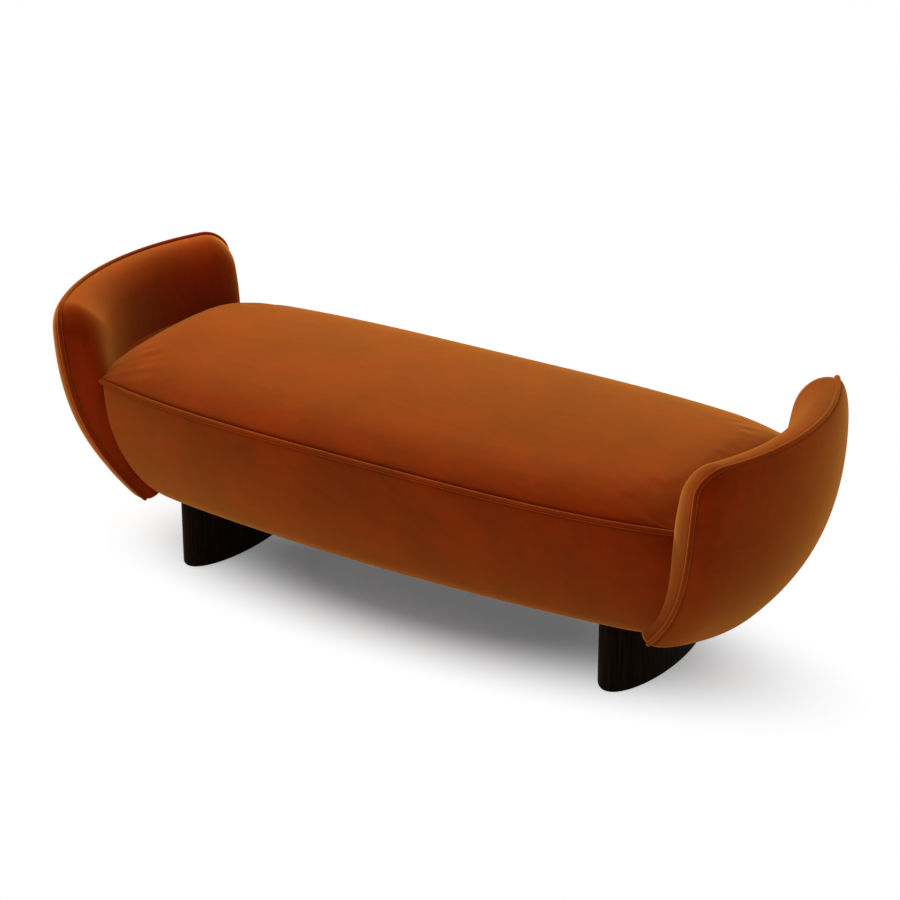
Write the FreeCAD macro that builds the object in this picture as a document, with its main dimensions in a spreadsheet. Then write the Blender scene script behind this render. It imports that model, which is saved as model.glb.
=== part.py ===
"""Upholstered bench with two curved arms on oval legs, in millimetres.

The origin is on the floor under the middle of the seat. X runs along the bench, the front
faces -Y and Z is up. The bench is alike on both sides of X = 0 and of Y = 0.
"""
import os
import FreeCAD
import Part
import Sketcher
from math import atan2, cos, radians, sin, sqrt, tan
from types import SimpleNamespace
from FreeCAD import Vector

doc = FreeCAD.newDocument("bench")
sheet = doc.addObject("Spreadsheet::Sheet", "sizes")

# Driving dimensions in millimetres. A name that ends in share is a plain ratio.
SIZES = {
    # Fits, cuts and cover cloth
    "fit_gap": 0.3,
    "overrun": 40,
    "cloth": 2.5,
    # Legs
    "leg_inset": 37,
    "leg_half_width": 61,
    "leg_margin": 15,
    "leg_height": 134,
    "leg_edge_round": 3,
    "glide_radius": 16,
    "glide_height": 4,
    # Leg bolts and their threaded inserts
    "leg_bolt_radius": 4,
    "leg_bolt_depth": 28,
    "bolt_head_radius": 7.5,
    "bolt_head_height": 5,
    "insert_radius": 6.5,
    "insert_length": 30,
    # Base panel, its formers and the rails on them
    "base_half_length": 510,
    "base_corner_draw": 28,
    "base_end_bow": 70,
    "base_thickness": 18,
    "former_thickness": 18,
    "former_height": 106,
    "former_hole_half": 70,
    "former_hole_height": 50,
    "rail_lean": 17,
    "rail_corner_draw": 30,
    "rail_width": 32,
    "rail_height": 40,
    "board_thickness": 6,
    "strap_width": 60,
    "strap_thickness": 2,
    "dust_cloth": 1,
    "dust_margin": 6,
    # Seat: seam between top panel and borders, crown, roll and foot of the borders
    "seam_half_depth": 280,
    "seam_rise": 88,
    "seam_corner_overhang": 122,
    "seam_corner_draw": 51,
    "seat_overhang": 224,
    "crown_rise": 55,
    "crown_end_drop": 66,
    "roll_run": 46,
    "roll_bulge": 7,
    "border_bulge": 9,
    "border_foot_proud": 13,
    "border_foot_draw": 33,
    "border_foot_overhang": 25,
    "seat_welt_width": 9,
    "seat_welt_thickness": 3,
    "seat_welt_stop": 11,
    # Arms: edge line of the welt, plan bow of the shell, pads on both faces
    "arm_foot_drop": 6,
    "arm_rise": 85,
    "arm_overhang": 182,
    "arm_lean": 51.8,
    "arm_upright": 80.8,
    "arm_tuck": 160,
    "arm_corner_radius": 44,
    "shell_thickness": 12,
    "arm_welt_radius": 4.4,
    "arm_welt_sink": 1,
    # End boards that carry the arms, and the arm bolts
    "end_board_height": 34,
    "arm_bolt_radius": 4,
    "arm_bolt_depth": 70,
    "arm_bolt_sink": 5,
    # Shares, first those of the half depth at the seam
    "base_depth_share": 0.6786,
    "arm_foot_share": 0.6714,
    "arm_flare_share": 0.6761,
    "arm_flare_return_share": 0.3893,
    "arm_foot_bow_share": 0.2929,
    "arm_top_bow_share": 0.2807,
    "arm_bow_swell_share": 0.4643,
    "inner_pad_share": 0.175,
    "outer_pad_share": 0.04,
    "glide_share": 0.6743,
    "leg_bolt_share": 0.6,
    "former_share": 0.5,
    "strap_pitch_share": 0.264,
    "end_board_share": 0.63,
    "end_board_rise_share": 0.235,
    "arm_bolt_share": 0.585,
    "roll_rise_share": 0.66,
    "pad_edge_share": 0.34,
    "pad_shoulder_share": 1.1,
    "pad_side_share": 0.32,
    "pad_swell_share": 0.66,
}
# Sizes that follow from the ones above, so that the pieces keep together
TIED = {
    "base_half_depth": "seam_half_depth * base_depth_share",
    "base_corner_depth": "base_half_depth - base_corner_draw",
    "leg_place": "base_half_length - leg_inset",
    "leg_half_length": "base_half_depth - leg_margin",
    "glide_place": "leg_half_length * glide_share",
    "leg_bolt_place": "leg_half_length * leg_bolt_share",
    "end_former_place": "base_half_length - former_thickness",
    "former_place": "end_former_place * former_share",
    "rail_half_depth": "base_half_depth + rail_lean",
    "rail_corner_depth": "rail_half_depth - rail_corner_draw",
    "strap_pitch": "end_former_place * strap_pitch_share",
    "base_foot": "glide_height + leg_height",
    "base_top": "base_foot + base_thickness",
    "former_top": "base_top + former_height",
    "rail_top": "former_top + rail_height",
    "seat_floor": "rail_top + strap_thickness",
    "seam_height": "seat_floor + seam_rise",
    "seam_corner_place": "base_half_length + seam_corner_overhang",
    "crown_height": "seam_height + crown_rise",
    "seat_reach": "base_half_length + seat_overhang",
    "border_foot_depth": "base_half_depth + border_foot_proud",
    "border_foot_place": "base_half_length + border_foot_overhang",
    "seat_welt_reach": "seam_corner_place - seat_welt_stop",
    "arm_foot_height": "base_foot - arm_foot_drop",
    "arm_top_height": "crown_height + arm_rise",
    "arm_top_place": "base_half_length + arm_overhang",
    "arm_foot_half": "seam_half_depth * arm_foot_share",
    "arm_flare": "seam_half_depth * arm_flare_share",
    "arm_flare_return": "seam_half_depth * arm_flare_return_share",
    "arm_foot_bow": "seam_half_depth * arm_foot_bow_share",
    "arm_top_bow": "seam_half_depth * arm_top_bow_share",
    "arm_bow_swell": "seam_half_depth * arm_bow_swell_share",
    "inner_pad": "seam_half_depth * inner_pad_share",
    "outer_pad": "seam_half_depth * outer_pad_share",
    "end_board_half": "base_half_depth * end_board_share",
    "end_board_low": "arm_foot_height + (arm_top_height - arm_foot_height) * end_board_rise_share",
    "arm_bolt_place": "end_board_half * arm_bolt_share",
}
cells = {**{name: str(value) for name, value in SIZES.items()},
         **{name: "=" + formula for name, formula in TIED.items()}}
for row, (name, content) in enumerate(cells.items(), start=1):
    sheet.set("A%d" % row, name)
    sheet.set("B%d" % row, content)
    sheet.setAlias("B%d" % row, name)
doc.recompute()
mm = SimpleNamespace(**{name: float(sheet.get(name)) for name in cells})


class Size:
    """A number from the sheet, or a sum or product of such, with the expression that gives it."""

    def __init__(self, value, text):
        self.value = float(value)
        self.text = text

    def joined(self, sign, other):
        """The expression text of this size, a sign and another size or plain ratio."""
        return "(%s %s %s)" % (self.text, sign, getattr(other, "text", other))

    def __add__(self, other):
        return Size(self.value + float(other), self.joined("+", other))

    def __sub__(self, other):
        return Size(self.value - float(other), self.joined("-", other))

    def __mul__(self, other):
        return Size(self.value * float(other), self.joined("*", other))

    def __truediv__(self, other):
        return Size(self.value / float(other), self.joined("/", other))

    def __neg__(self):
        return Size(-self.value, "(-%s)" % self.text)

    def __float__(self):
        return self.value


sz = SimpleNamespace(**{name: Size(sheet.get(name), "sizes." + name) for name in cells})
nodes = []


def keep(thing, label):
    """Give a finished sub-part its node name and put it on the list that is written out."""
    thing.Label = label
    nodes.append(thing)
    return thing


# Sketch and feature helpers for the rigid pieces

def new_body(label):
    return doc.addObject("PartDesign::Body", label)


def new_sketch(body, role, start=None):
    """A sketch on one of the body's own planes, lifted off it by a size."""
    sketch = body.newObject("Sketcher::SketchObject", body.Name + "_sketch")
    plane = [face for face in body.Origin.OriginFeatures if face.Role == role]
    sketch.AttachmentSupport = (plane[0], "")
    sketch.MapMode = "FlatFace"
    if start is not None:
        sketch.setExpression("AttachmentOffset.Base.z", start.text)
    return sketch


def bind(sketch, kind, places, size):
    """One dimension of a sketch, tied to the sheet."""
    index = sketch.addConstraint(Sketcher.Constraint(kind, *places, size.value))
    sketch.setExpression("Constraints[%d]" % index, size.text)


def draw_circles(sketch, centres, radius):
    """Circles of one radius about pairs of sizes, where None puts the centre on the Y axis."""
    for across, along in centres:
        centre = Vector(across.value if across else 0, along.value, 0)
        circle = sketch.addGeometry(Part.Circle(centre, Vector(0, 0, 1), radius.value))
        if across:
            bind(sketch, "DistanceX", (-1, 1, circle, 3), across)
        else:
            sketch.addConstraint(Sketcher.Constraint("PointOnObject", circle, 3, -2))
        bind(sketch, "DistanceY", (-1, 1, circle, 3), along)
        bind(sketch, "Radius", (circle,), radius)


def arc_through(first, last, radius):
    """The arc under a half circle from first to last that swells to the right of the way there."""
    chord = last - first
    middle = (first + last) * 0.5
    side = Vector(-chord.y, chord.x, 0).normalize()
    centre = middle + side * sqrt(radius ** 2 - chord.Length ** 2 / 4)
    start = atan2(first.y - centre.y, first.x - centre.x)
    end = atan2(last.y - centre.y, last.x - centre.x)
    return Part.ArcOfCircle(Part.Circle(centre, Vector(0, 0, 1), radius), start, end)


def draw_outline(sketch, corners):
    """Closed outline, run counter-clockwise: each corner is (x, y), or (x, y, r) before an arc.

    A negative radius makes an arc that swells inwards, which is drawn from its far end.
    """
    spots = [Vector(corner[0].value, corner[1].value, 0) for corner in corners]
    count = len(corners)
    starts = []
    for index, corner in enumerate(corners):
        first = spots[index]
        last = spots[(index + 1) % count]
        radius = corner[2].value if len(corner) == 3 else 0
        starts.append(2 if radius < 0 else 1)
        if radius > 0:
            sketch.addGeometry(arc_through(first, last, radius))
        elif radius < 0:
            sketch.addGeometry(arc_through(last, first, -radius))
        else:
            sketch.addGeometry(Part.LineSegment(first, last))
    for index in range(count):
        after = (index + 1) % count
        ends = (index, 3 - starts[index], after, starts[after])
        sketch.addConstraint(Sketcher.Constraint("Coincident", *ends))
    for index, corner in enumerate(corners):
        bind(sketch, "DistanceX", (-1, 1, index, starts[index]), corner[0])
        bind(sketch, "DistanceY", (-1, 1, index, starts[index]), corner[1])
        if len(corner) == 3:
            radius = corner[2] if starts[index] == 1 else -corner[2]
            bind(sketch, "Radius", (index,), radius)


def pad(body, sketch, length, midplane=False):
    feature = body.newObject("PartDesign::Pad", sketch.Name + "_pad")
    feature.Profile = sketch
    feature.setExpression("Length", length.text)
    feature.Midplane = midplane
    return feature


def drill(body, sketch):
    """Cut a sketch right through the body, both ways."""
    feature = body.newObject("PartDesign::Pocket", sketch.Name + "_cut")
    feature.Profile = sketch
    feature.Type = "ThroughAll"
    feature.Midplane = True
    return feature


def place(thing, **sizes):
    """Tie the position of a sub-part to the sheet."""
    for axis, size in sizes.items():
        thing.setExpression("Placement.Base." + axis, size.text)
    return thing


def bow_radius(half_chord, bow):
    """Radius of the arc that rises by the bow over a chord."""
    return (half_chord * half_chord + bow * bow) / (bow * 2)


def cut(label, base, tool):
    feature = doc.addObject("Part::Cut", label)
    feature.Base = base
    feature.Tool = tool
    return feature


def solid(label, shape):
    """A sub-part whose form is worked out below, from values of the sheet."""
    feature = doc.addObject("Part::Feature", label)
    feature.Shape = shape
    return feature


def mirrored(source, label):
    """The same piece on the left side of the bench."""
    feature = doc.addObject("Part::Mirroring", label)
    feature.Source = source
    feature.Normal = Vector(1, 0, 0)
    return keep(feature, label)


SIDES = (("right", 1), ("left", -1))
leg_bolt_row = [(None, sz.leg_bolt_place * step) for step in (-1, 1)]

# Legs: solid oval posts with threaded inserts in the top, standing on round glides


def oval_post(label, half_length, half_width, foot, height):
    """An upright oval block, long across the bench."""
    rim = doc.addObject("Part::Ellipse", label + "_rim")
    rim.setExpression("MajorRadius", half_length.text)
    rim.setExpression("MinorRadius", half_width.text)
    rim.Placement = FreeCAD.Placement(Vector(), FreeCAD.Rotation(Vector(0, 0, 1), 90))
    post = doc.addObject("Part::Extrusion", label + "_post")
    post.Base = rim
    post.DirMode = "Custom"
    post.Dir = Vector(0, 0, 1)
    post.Solid = True
    post.setExpression("LengthFwd", height.text)
    return place(post, z=foot)


for side, sign in SIDES:
    leg_at = sz.leg_place * sign
    post = oval_post("leg_" + side, sz.leg_half_length, sz.leg_half_width, sz.glide_height, sz.leg_height)
    doc.recompute()
    low = post.Shape.BoundBox.ZMin
    foot_edges = [index for index, edge in enumerate(post.Shape.Edges, start=1)
                  if edge.BoundBox.ZMax - low < mm.leg_edge_round]
    rounded = doc.addObject("Part::Fillet", "leg_" + side + "_rounded")
    rounded.Base = post
    rounded.Edges = [(index, mm.leg_edge_round, mm.leg_edge_round) for index in foot_edges]
    sockets = new_body("leg_" + side + "_sockets")
    hole = new_sketch(sockets, "XY_Plane", sz.base_foot - sz.insert_length)
    draw_circles(hole, leg_bolt_row, sz.insert_radius)
    pad(sockets, hole, sz.insert_length + sz.overrun)
    keep(place(cut("leg_%s_cut" % side, rounded, sockets), x=leg_at), "leg_" + side)

    glides = new_body("glides_" + side)
    disc = new_sketch(glides, "XY_Plane")
    draw_circles(disc, [(None, sz.glide_place * step) for step in (-1, 1)], sz.glide_radius)
    pad(glides, disc, sz.glide_height)
    keep(place(glides, x=leg_at), "leg_glides_" + side)

    inserts = new_body("inserts_" + side)
    sleeve = new_sketch(inserts, "XY_Plane", sz.base_foot - sz.insert_length)
    draw_circles(sleeve, leg_bolt_row, sz.insert_radius)
    draw_circles(sleeve, leg_bolt_row, sz.leg_bolt_radius + sz.fit_gap)
    pad(inserts, sleeve, sz.insert_length)
    keep(place(inserts, x=leg_at), "leg_inserts_" + side)

    bolts = new_body("leg_bolts_" + side + "_body")
    shank = new_sketch(bolts, "XY_Plane", sz.base_foot - sz.leg_bolt_depth)
    draw_circles(shank, leg_bolt_row, sz.leg_bolt_radius)
    pad(bolts, shank, sz.leg_bolt_depth + sz.base_thickness)
    head = new_sketch(bolts, "XY_Plane", sz.base_top)
    draw_circles(head, leg_bolt_row, sz.bolt_head_radius)
    pad(bolts, head, sz.bolt_head_height)
    keep(place(bolts, x=leg_at), "leg_bolts_" + side)

# Base panel: plywood with bowed sides, drilled for the leg bolts, and a dust cloth under it


def base_outline(sketch, length, depth):
    """The bowed outline of the base panel, with its corners at a half length and half depth."""
    long_arc = bow_radius(length, sz.base_half_depth - sz.base_corner_depth)
    end_arc = bow_radius(depth, sz.base_end_bow)
    draw_outline(sketch, [(-length, -depth, long_arc), (length, -depth, end_arc),
                          (length, depth, long_arc), (-length, depth, end_arc)])


base = new_body("base")
panel = new_sketch(base, "XY_Plane")
base_outline(panel, sz.base_half_length, sz.base_corner_depth)
pad(base, panel, sz.base_thickness)
holes = new_sketch(base, "XY_Plane")
leg_bolt_spots = [(sz.leg_place * step, along) for step in (-1, 1) for _, along in leg_bolt_row]
draw_circles(holes, leg_bolt_spots, sz.leg_bolt_radius + sz.fit_gap)
drill(base, holes)
keep(place(base, z=sz.base_foot), "base_panel")

dust = new_body("dust")
cloth = new_sketch(dust, "XY_Plane")
base_outline(cloth, sz.base_half_length - sz.dust_margin, sz.base_corner_depth - sz.dust_margin)
pad(dust, cloth, sz.dust_cloth)
place(dust, z=sz.base_foot - sz.dust_cloth)
for side, sign in SIDES:
    opening = oval_post("dust_" + side, sz.leg_half_length + sz.fit_gap, sz.leg_half_width + sz.fit_gap,
                        sz.base_foot - sz.overrun, sz.overrun * 2)
    dust = cut("dust_" + side, dust, place(opening, x=sz.leg_place * sign))
keep(dust, "dust_cover")

# Formers: plywood ribs across the base, narrower at the foot, with a hole to save weight


def depth_at(half_depth, corner_depth, along):
    """Half depth of the bowed base or rail line at a distance along the bench."""
    ratio = along / sz.base_half_length
    return half_depth - (half_depth - corner_depth) * (ratio * ratio)


end_face = sz.end_former_place + sz.former_thickness / 2
FORMERS = (("left_end", -sz.end_former_place), ("left", -sz.former_place), ("middle", None),
           ("right", sz.former_place), ("right_end", sz.end_former_place))
for label, along in FORMERS:
    reach = sz.former_thickness / 2
    if along is not None:
        reach = (along if along.value > 0 else -along) + reach
    foot = depth_at(sz.base_half_depth, sz.base_corner_depth, reach) - sz.board_thickness - sz.fit_gap
    top = depth_at(sz.rail_half_depth, sz.rail_corner_depth, reach)
    former = new_body("former_" + label)
    rib = new_sketch(former, "YZ_Plane")
    draw_outline(rib, [(-foot, sz.base_top), (foot, sz.base_top),
                       (top, sz.former_top), (-top, sz.former_top)])
    pad(former, rib, sz.former_thickness, midplane=True)
    window = new_sketch(former, "YZ_Plane")
    sill = sz.base_top + (sz.former_height - sz.former_hole_height) / 2
    half = sz.former_hole_half
    draw_outline(window, [(-half, sill), (half, sill), (half, sill + sz.former_hole_height),
                          (-half, sill + sz.former_hole_height)])
    drill(former, window)
    if along is not None:
        place(former, x=along)
    keep(former, "former_" + label)

# Rails on the formers and bent boards over their sloping edges; the rear ones are turned copies

TURN = FreeCAD.Rotation(Vector(0, 0, 1), 180)


def strip(sketch, corner, middle, width):
    """A bowed strip along the front: its outer line runs through the corner and middle depths."""
    bow = middle - corner
    outer_arc = bow_radius(end_face, bow)
    draw_outline(sketch, [(-end_face, -corner, outer_arc), (end_face, -corner),
                          (end_face, width - corner, -outer_arc), (-end_face, width - corner)])


def board_face(low, rail):
    """Depth of a board's inner face at the top of the rails: it clears the rail's lower edge."""
    return low + (rail + sz.fit_gap - low) * ((sz.former_height + sz.rail_height) / sz.former_height)


base_end = depth_at(sz.base_half_depth, sz.base_corner_depth, end_face)
rail_end = depth_at(sz.rail_half_depth, sz.rail_corner_depth, end_face)
board_end = board_face(base_end - sz.board_thickness, rail_end) + sz.board_thickness
middle_face = board_face(sz.base_half_depth - sz.board_thickness, sz.rail_half_depth)
board_middle = middle_face + sz.board_thickness
for side in ("front", "rear"):
    rail = new_body("rail_" + side)
    rail_line = new_sketch(rail, "XY_Plane")
    strip(rail_line, rail_end, sz.rail_half_depth, sz.rail_width)
    pad(rail, rail_line, sz.rail_height)
    board = new_body("board_" + side)
    low = new_sketch(board, "XY_Plane", sz.base_top)
    strip(low, base_end, sz.base_half_depth, sz.board_thickness)
    high = new_sketch(board, "XY_Plane", sz.rail_top)
    strip(high, board_end, board_middle, sz.board_thickness)
    skin = board.newObject("PartDesign::AdditiveLoft", "board_%s_loft" % side)
    skin.Profile = low
    skin.Sections = [high]
    skin.Ruled = True
    if side == "rear":
        rail.Placement = FreeCAD.Placement(Vector(), TURN)
        board.Placement = FreeCAD.Placement(Vector(), TURN)
    keep(place(rail, z=sz.former_top), side + "_rail")
    keep(board, side + "_board")

# Elastic webbing from rail to rail, under the seat foam

STRAP_STEPS = (-3, -2, -1, 0, 1, 2, 3)
straps = []
for step in STRAP_STEPS:
    along = sz.strap_pitch * step
    half = depth_at(sz.rail_half_depth, sz.rail_corner_depth, along) - sz.rail_width / 4
    strap = doc.addObject("Part::Box", "strap")
    strap.setExpression("Length", sz.strap_width.text)
    strap.setExpression("Width", (half * 2).text)
    strap.setExpression("Height", sz.strap_thickness.text)
    straps.append(place(strap, x=along - sz.strap_width / 2, y=-half, z=sz.rail_top))
webbing = doc.addObject("Part::Compound", "webbing")
webbing.Links = straps
keep(webbing, "seat_webbing")

# Arms: a bent shell between two pads. A level is the plan arc of the shell at one height


def arm_level(height):
    """Plan arc of the shell: centre on the X axis, radius, and half width at the arm's edge."""
    up = (height - mm.arm_foot_height) / (mm.arm_top_height - mm.arm_foot_height)
    down = 1 - up
    edge = mm.arm_top_place - mm.arm_lean * down + mm.arm_upright * down ** 2 - mm.arm_tuck * down ** 3
    half = mm.arm_foot_half + mm.arm_flare * up - mm.arm_flare_return * up ** 2
    bow = mm.arm_foot_bow * down + mm.arm_top_bow * up + mm.arm_bow_swell * up ** 2 * down
    radius = (half ** 2 + bow ** 2) / (2 * bow)
    return SimpleNamespace(centre=edge + bow - radius, radius=radius, half=half, height=height)


def rounded_half(level, inset):
    """Half width of the arm at a level, drawn in round the top corners and by an inset."""
    top = mm.arm_top_height - inset
    corner = mm.arm_corner_radius - inset
    rise = min(max(level.height - (top - corner), 0), corner)
    return level.half - inset - corner + sqrt(corner ** 2 - rise ** 2)


def on_level(level, offset, across):
    """The point at an offset outwards from the shell's middle face."""
    reach = sqrt((level.radius + offset) ** 2 - across ** 2)
    return Vector(level.centre + reach, across, level.height)


def arc(first, middle, last):
    return Part.Arc(first, middle, last).toShape()


def line(first, last):
    return Part.LineSegment(first, last).toShape()


LEVEL_SHARES = (0.02, 0.06, 0.15, 0.28, 0.42, 0.56, 0.7, 0.82, 0.89, 0.94, 0.975, 0.993)


def heights(inset):
    """Heights of an arm piece's sections: shared levels, and its own foot and top."""
    low = mm.arm_foot_height + inset
    high = mm.arm_top_height - inset
    span = mm.arm_top_height - mm.arm_foot_height
    shared = [mm.arm_foot_height + span * share for share in LEVEL_SHARES]
    inside = [height for height in shared if low + mm.fit_gap < height < high - mm.fit_gap]
    return [low] + inside + [high]


def arm_slab(inner, outer, inset, corners=True):
    """A plain bent slab between two offsets from the middle face."""
    wires = []
    for height in heights(inset):
        level = arm_level(height)
        half = rounded_half(level, inset) if corners else level.half
        near = [on_level(level, inner, half * step) for step in (-1, 0, 1)]
        far = [on_level(level, outer, half * step) for step in (1, 0, -1)]
        wires.append(Part.Wire([arc(*near), line(near[2], far[0]), arc(*far), line(far[2], near[0])]))
    return Part.makeLoft(wires, True, True)


def arm_pad(back, thickness, inset, power, run_on=0):
    """A pad on one face of the shell, rolled at its edges: negative thickness is the inner side.

    With a run-on the pad goes on straight past its back, to serve as a cutting tool.
    """
    wires = []
    middle = (mm.arm_foot_height + mm.arm_top_height) / 2
    reach = mm.arm_top_height - middle
    for height in heights(inset):
        level = arm_level(height)
        half = rounded_half(level, inset)
        full = sqrt(1 - (abs(height - middle) / reach) ** power)
        depth = thickness * max(full, mm.pad_edge_share)
        shoulder = half - mm.pad_shoulder_share * abs(depth)
        flank = half - mm.pad_side_share * abs(depth)
        base = [on_level(level, back - run_on, half * step) for step in (-1, 0, 1)]
        heel = [on_level(level, back, half * step) for step in (-1, 1)]
        face = [on_level(level, back + depth, shoulder * step) for step in (1, 0, -1)]
        side = [on_level(level, back + depth * mm.pad_swell_share, flank * step) for step in (-1, 1)]
        edges = [arc(*base), arc(heel[1], side[1], face[0]), arc(*face), arc(face[2], side[0], heel[0])]
        if run_on:
            edges.insert(1, line(base[2], heel[1]))
            edges.append(line(heel[0], base[0]))
        wires.append(Part.Wire(edges))
    return Part.makeLoft(wires, True, True)


def box(low, high):
    """A block between two opposite corners."""
    size = high - low
    return Part.makeBox(size.x, size.y, size.z, low)


INNER_POWER = 8
OUTER_POWER = 16
half_shell = mm.shell_thickness / 2
edge_inset = mm.arm_welt_sink + mm.arm_welt_radius + mm.fit_gap
board_low = mm.end_board_low
bolt_height = board_low + mm.end_board_height / 2
bolt_rows = [mm.arm_bolt_place * step for step in (-1, 1)]
bolt_level = arm_level(bolt_height)
bolt_top = on_level(bolt_level, half_shell, mm.arm_bolt_place).x - mm.arm_bolt_sink
bolt_seat = bolt_top - mm.bolt_head_height


def bolt_tool(radius, start, length):
    """Cylinders along X on the lines of the arm bolts."""
    rods = [Part.makeCylinder(radius, length, Vector(start, across, bolt_height), Vector(1, 0, 0))
            for across in bolt_rows]
    return Part.makeCompound(rods)


bolt_holes = bolt_tool(mm.arm_bolt_radius + mm.fit_gap, end_face.value, mm.arm_top_place)
head_room = bolt_tool(mm.bolt_head_radius + mm.fit_gap, bolt_seat, mm.overrun)
board_room = box(Vector(end_face.value, -mm.end_board_half - mm.fit_gap, board_low - mm.fit_gap),
                 Vector(mm.arm_top_place + mm.overrun, mm.end_board_half + mm.fit_gap,
                        board_low + mm.end_board_height + mm.fit_gap))


def dressed_pad(way, thickness, power):
    """The foam on one face of the shell and the cloth cover over it, open at its back."""
    back = way * (half_shell + mm.fit_gap)
    lining = mm.cloth - mm.fit_gap
    foam = arm_pad(back, way * thickness, mm.cloth, power)
    room = arm_pad(back, way * (thickness + mm.fit_gap), lining, power, way * mm.overrun)
    return foam, arm_pad(back, way * (thickness + mm.cloth), 0, power).cut(room)


inner_foam, inner_cover = dressed_pad(-1, mm.inner_pad, INNER_POWER)
outer_foam, outer_cover = dressed_pad(1, mm.outer_pad, OUTER_POWER)
ARM_PIECES = {
    "arm_shell": arm_slab(-half_shell, half_shell, edge_inset).cut(bolt_holes).cut(head_room),
    "arm_inner_foam": inner_foam.cut(board_room),
    "arm_inner_cover": inner_cover.cut(board_room),
    "arm_outer_foam": outer_foam,
    "arm_outer_cover": outer_cover,
}
for label, shape in ARM_PIECES.items():
    right = keep(solid(label + "_right", shape), label + "_right")
    mirrored(right, label + "_left")

# End boards that reach from the end formers to the arm shells, and the bolts that hold the arms

shell_room = arm_slab(-half_shell - mm.fit_gap, mm.arm_tuck, 0, corners=False)
end_board = new_body("end_board")
block = new_sketch(end_board, "XY_Plane")
draw_outline(block, [(end_face, -sz.end_board_half), (sz.arm_top_place + sz.overrun, -sz.end_board_half),
                     (sz.arm_top_place + sz.overrun, sz.end_board_half), (end_face, sz.end_board_half)])
pad(end_board, block, sz.end_board_height)
place(end_board, z=sz.end_board_low)
shaped = cut("end_board_shaped", end_board, solid("shell_room", shell_room))
drilled = cut("end_board_drilled", shaped, solid("bolt_holes", bolt_holes))
clear = cut("end_board_clear", drilled, solid("head_room", head_room))
mirrored(keep(clear, "end_board_right"), "end_board_left")

shank_start = bolt_seat - mm.arm_bolt_depth
shanks = bolt_tool(mm.arm_bolt_radius, shank_start, bolt_seat - shank_start)
heads = bolt_tool(mm.bolt_head_radius, bolt_seat, mm.bolt_head_height)
bolts = [rod.fuse(head) for rod, head in zip(shanks.Solids, heads.Solids)]
mirrored(keep(solid("arm_bolts", Part.makeCompound(bolts)), "arm_bolts_right"), "arm_bolts_left")

# Welts: cords that follow an edge line on tangent arcs

STRAIGHT_SHARE = 1e-6
SMALL_STEP = 1e-3


def biarc(first, heading, last, heading_out):
    """Two arcs that leave first and reach last along the given headings."""
    span = last - first
    both = heading + heading_out
    spread = 2 * (1 - heading.dot(heading_out))
    reach = span.dot(both)
    length = span.dot(span) / (reach + sqrt(reach ** 2 + spread * span.dot(span)))
    knee_in = first + heading * length
    knee_out = last - heading_out * length
    meet = (knee_in + knee_out) * 0.5
    return [arc_with_knee(first, knee_in, meet), arc_with_knee(meet, knee_out, last)]


def arc_with_knee(first, knee, last):
    """The arc from first to last that touches the two lines through the knee."""
    middle = (first + last) * 0.5
    rise = knee - middle
    half = (last - first).Length / 2
    if rise.Length < half * STRAIGHT_SHARE:
        return line(first, last)
    sagitta = half * tan(atan2(rise.Length, half) / 2)
    return arc(first, middle + rise.normalize() * sagitta, last)


def cord(path, stops, outline):
    """A cord along a path, given as a function of a running number.

    The outline lists its corners as distances beside and above the path.
    """
    points = [path(stop) for stop in stops]
    headings = [(path(stop + SMALL_STEP) - path(stop - SMALL_STEP)).normalize() for stop in stops]
    edges = []
    for index in range(len(stops) - 1):
        edges += biarc(points[index], headings[index], points[index + 1], headings[index + 1])
    beside = headings[0].cross(Vector(0, 0, 1)).normalize()
    above = beside.cross(headings[0])
    corners = [points[0] + beside * across + above * up for across, up in outline]
    ring = Part.makePolygon(corners, True)
    return Part.Wire(edges).makePipeShell([ring], True, False)


def arm_edge(run):
    """Edge of the arm: 0 to 1 up the front, to 2 round the corner, to 3 half way along the top."""
    if run > 3:
        twin = arm_edge(6 - run)
        return Vector(twin.x, -twin.y, twin.z)
    sink = mm.arm_welt_sink
    corner = mm.arm_corner_radius
    straight = mm.arm_top_height - corner - mm.arm_foot_height
    turn = radians(90) * min(max(run - 1, 0), 1)
    height = mm.arm_foot_height + straight * min(run, 1) + (corner - sink) * sin(turn)
    level = arm_level(height)
    half = level.half - sink - (corner - sink) * (1 - cos(turn))
    across = -half * min(3 - run, 1)
    return on_level(level, 0, across)


EDGE_STOPS = (0, 0.5, 1, 2, 4, 5, 5.5, 6)
CORD_SIDES = 8
turns = [radians(360 * step / CORD_SIDES) for step in range(CORD_SIDES)]
cord_outline = [(mm.arm_welt_radius * cos(turn), mm.arm_welt_radius * sin(turn)) for turn in turns]
right_welt = solid("arm_welt", cord(arm_edge, EDGE_STOPS, cord_outline))
mirrored(keep(right_welt, "arm_welt_right"), "arm_welt_left")

# Seat: sections across the bench, each with a foot, two borders, two rolls and a crown

SEAM_POWER = 3.4
CROWN_POWER = 12
STATION_SHARES = (-1, -0.96, -0.9, -0.82, -0.7, -0.45, 0, 0.45, 0.7, 0.82, 0.9, 0.96, 1)


def seam_half(along):
    """Half depth of the seat at its seam."""
    return mm.seam_half_depth - mm.seam_corner_draw * abs(along / mm.seam_corner_place) ** SEAM_POWER


def foot_half(along):
    """Half depth of the seat at the foot of its borders."""
    return mm.border_foot_depth - mm.border_foot_draw * (along / mm.border_foot_place) ** 2


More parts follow.
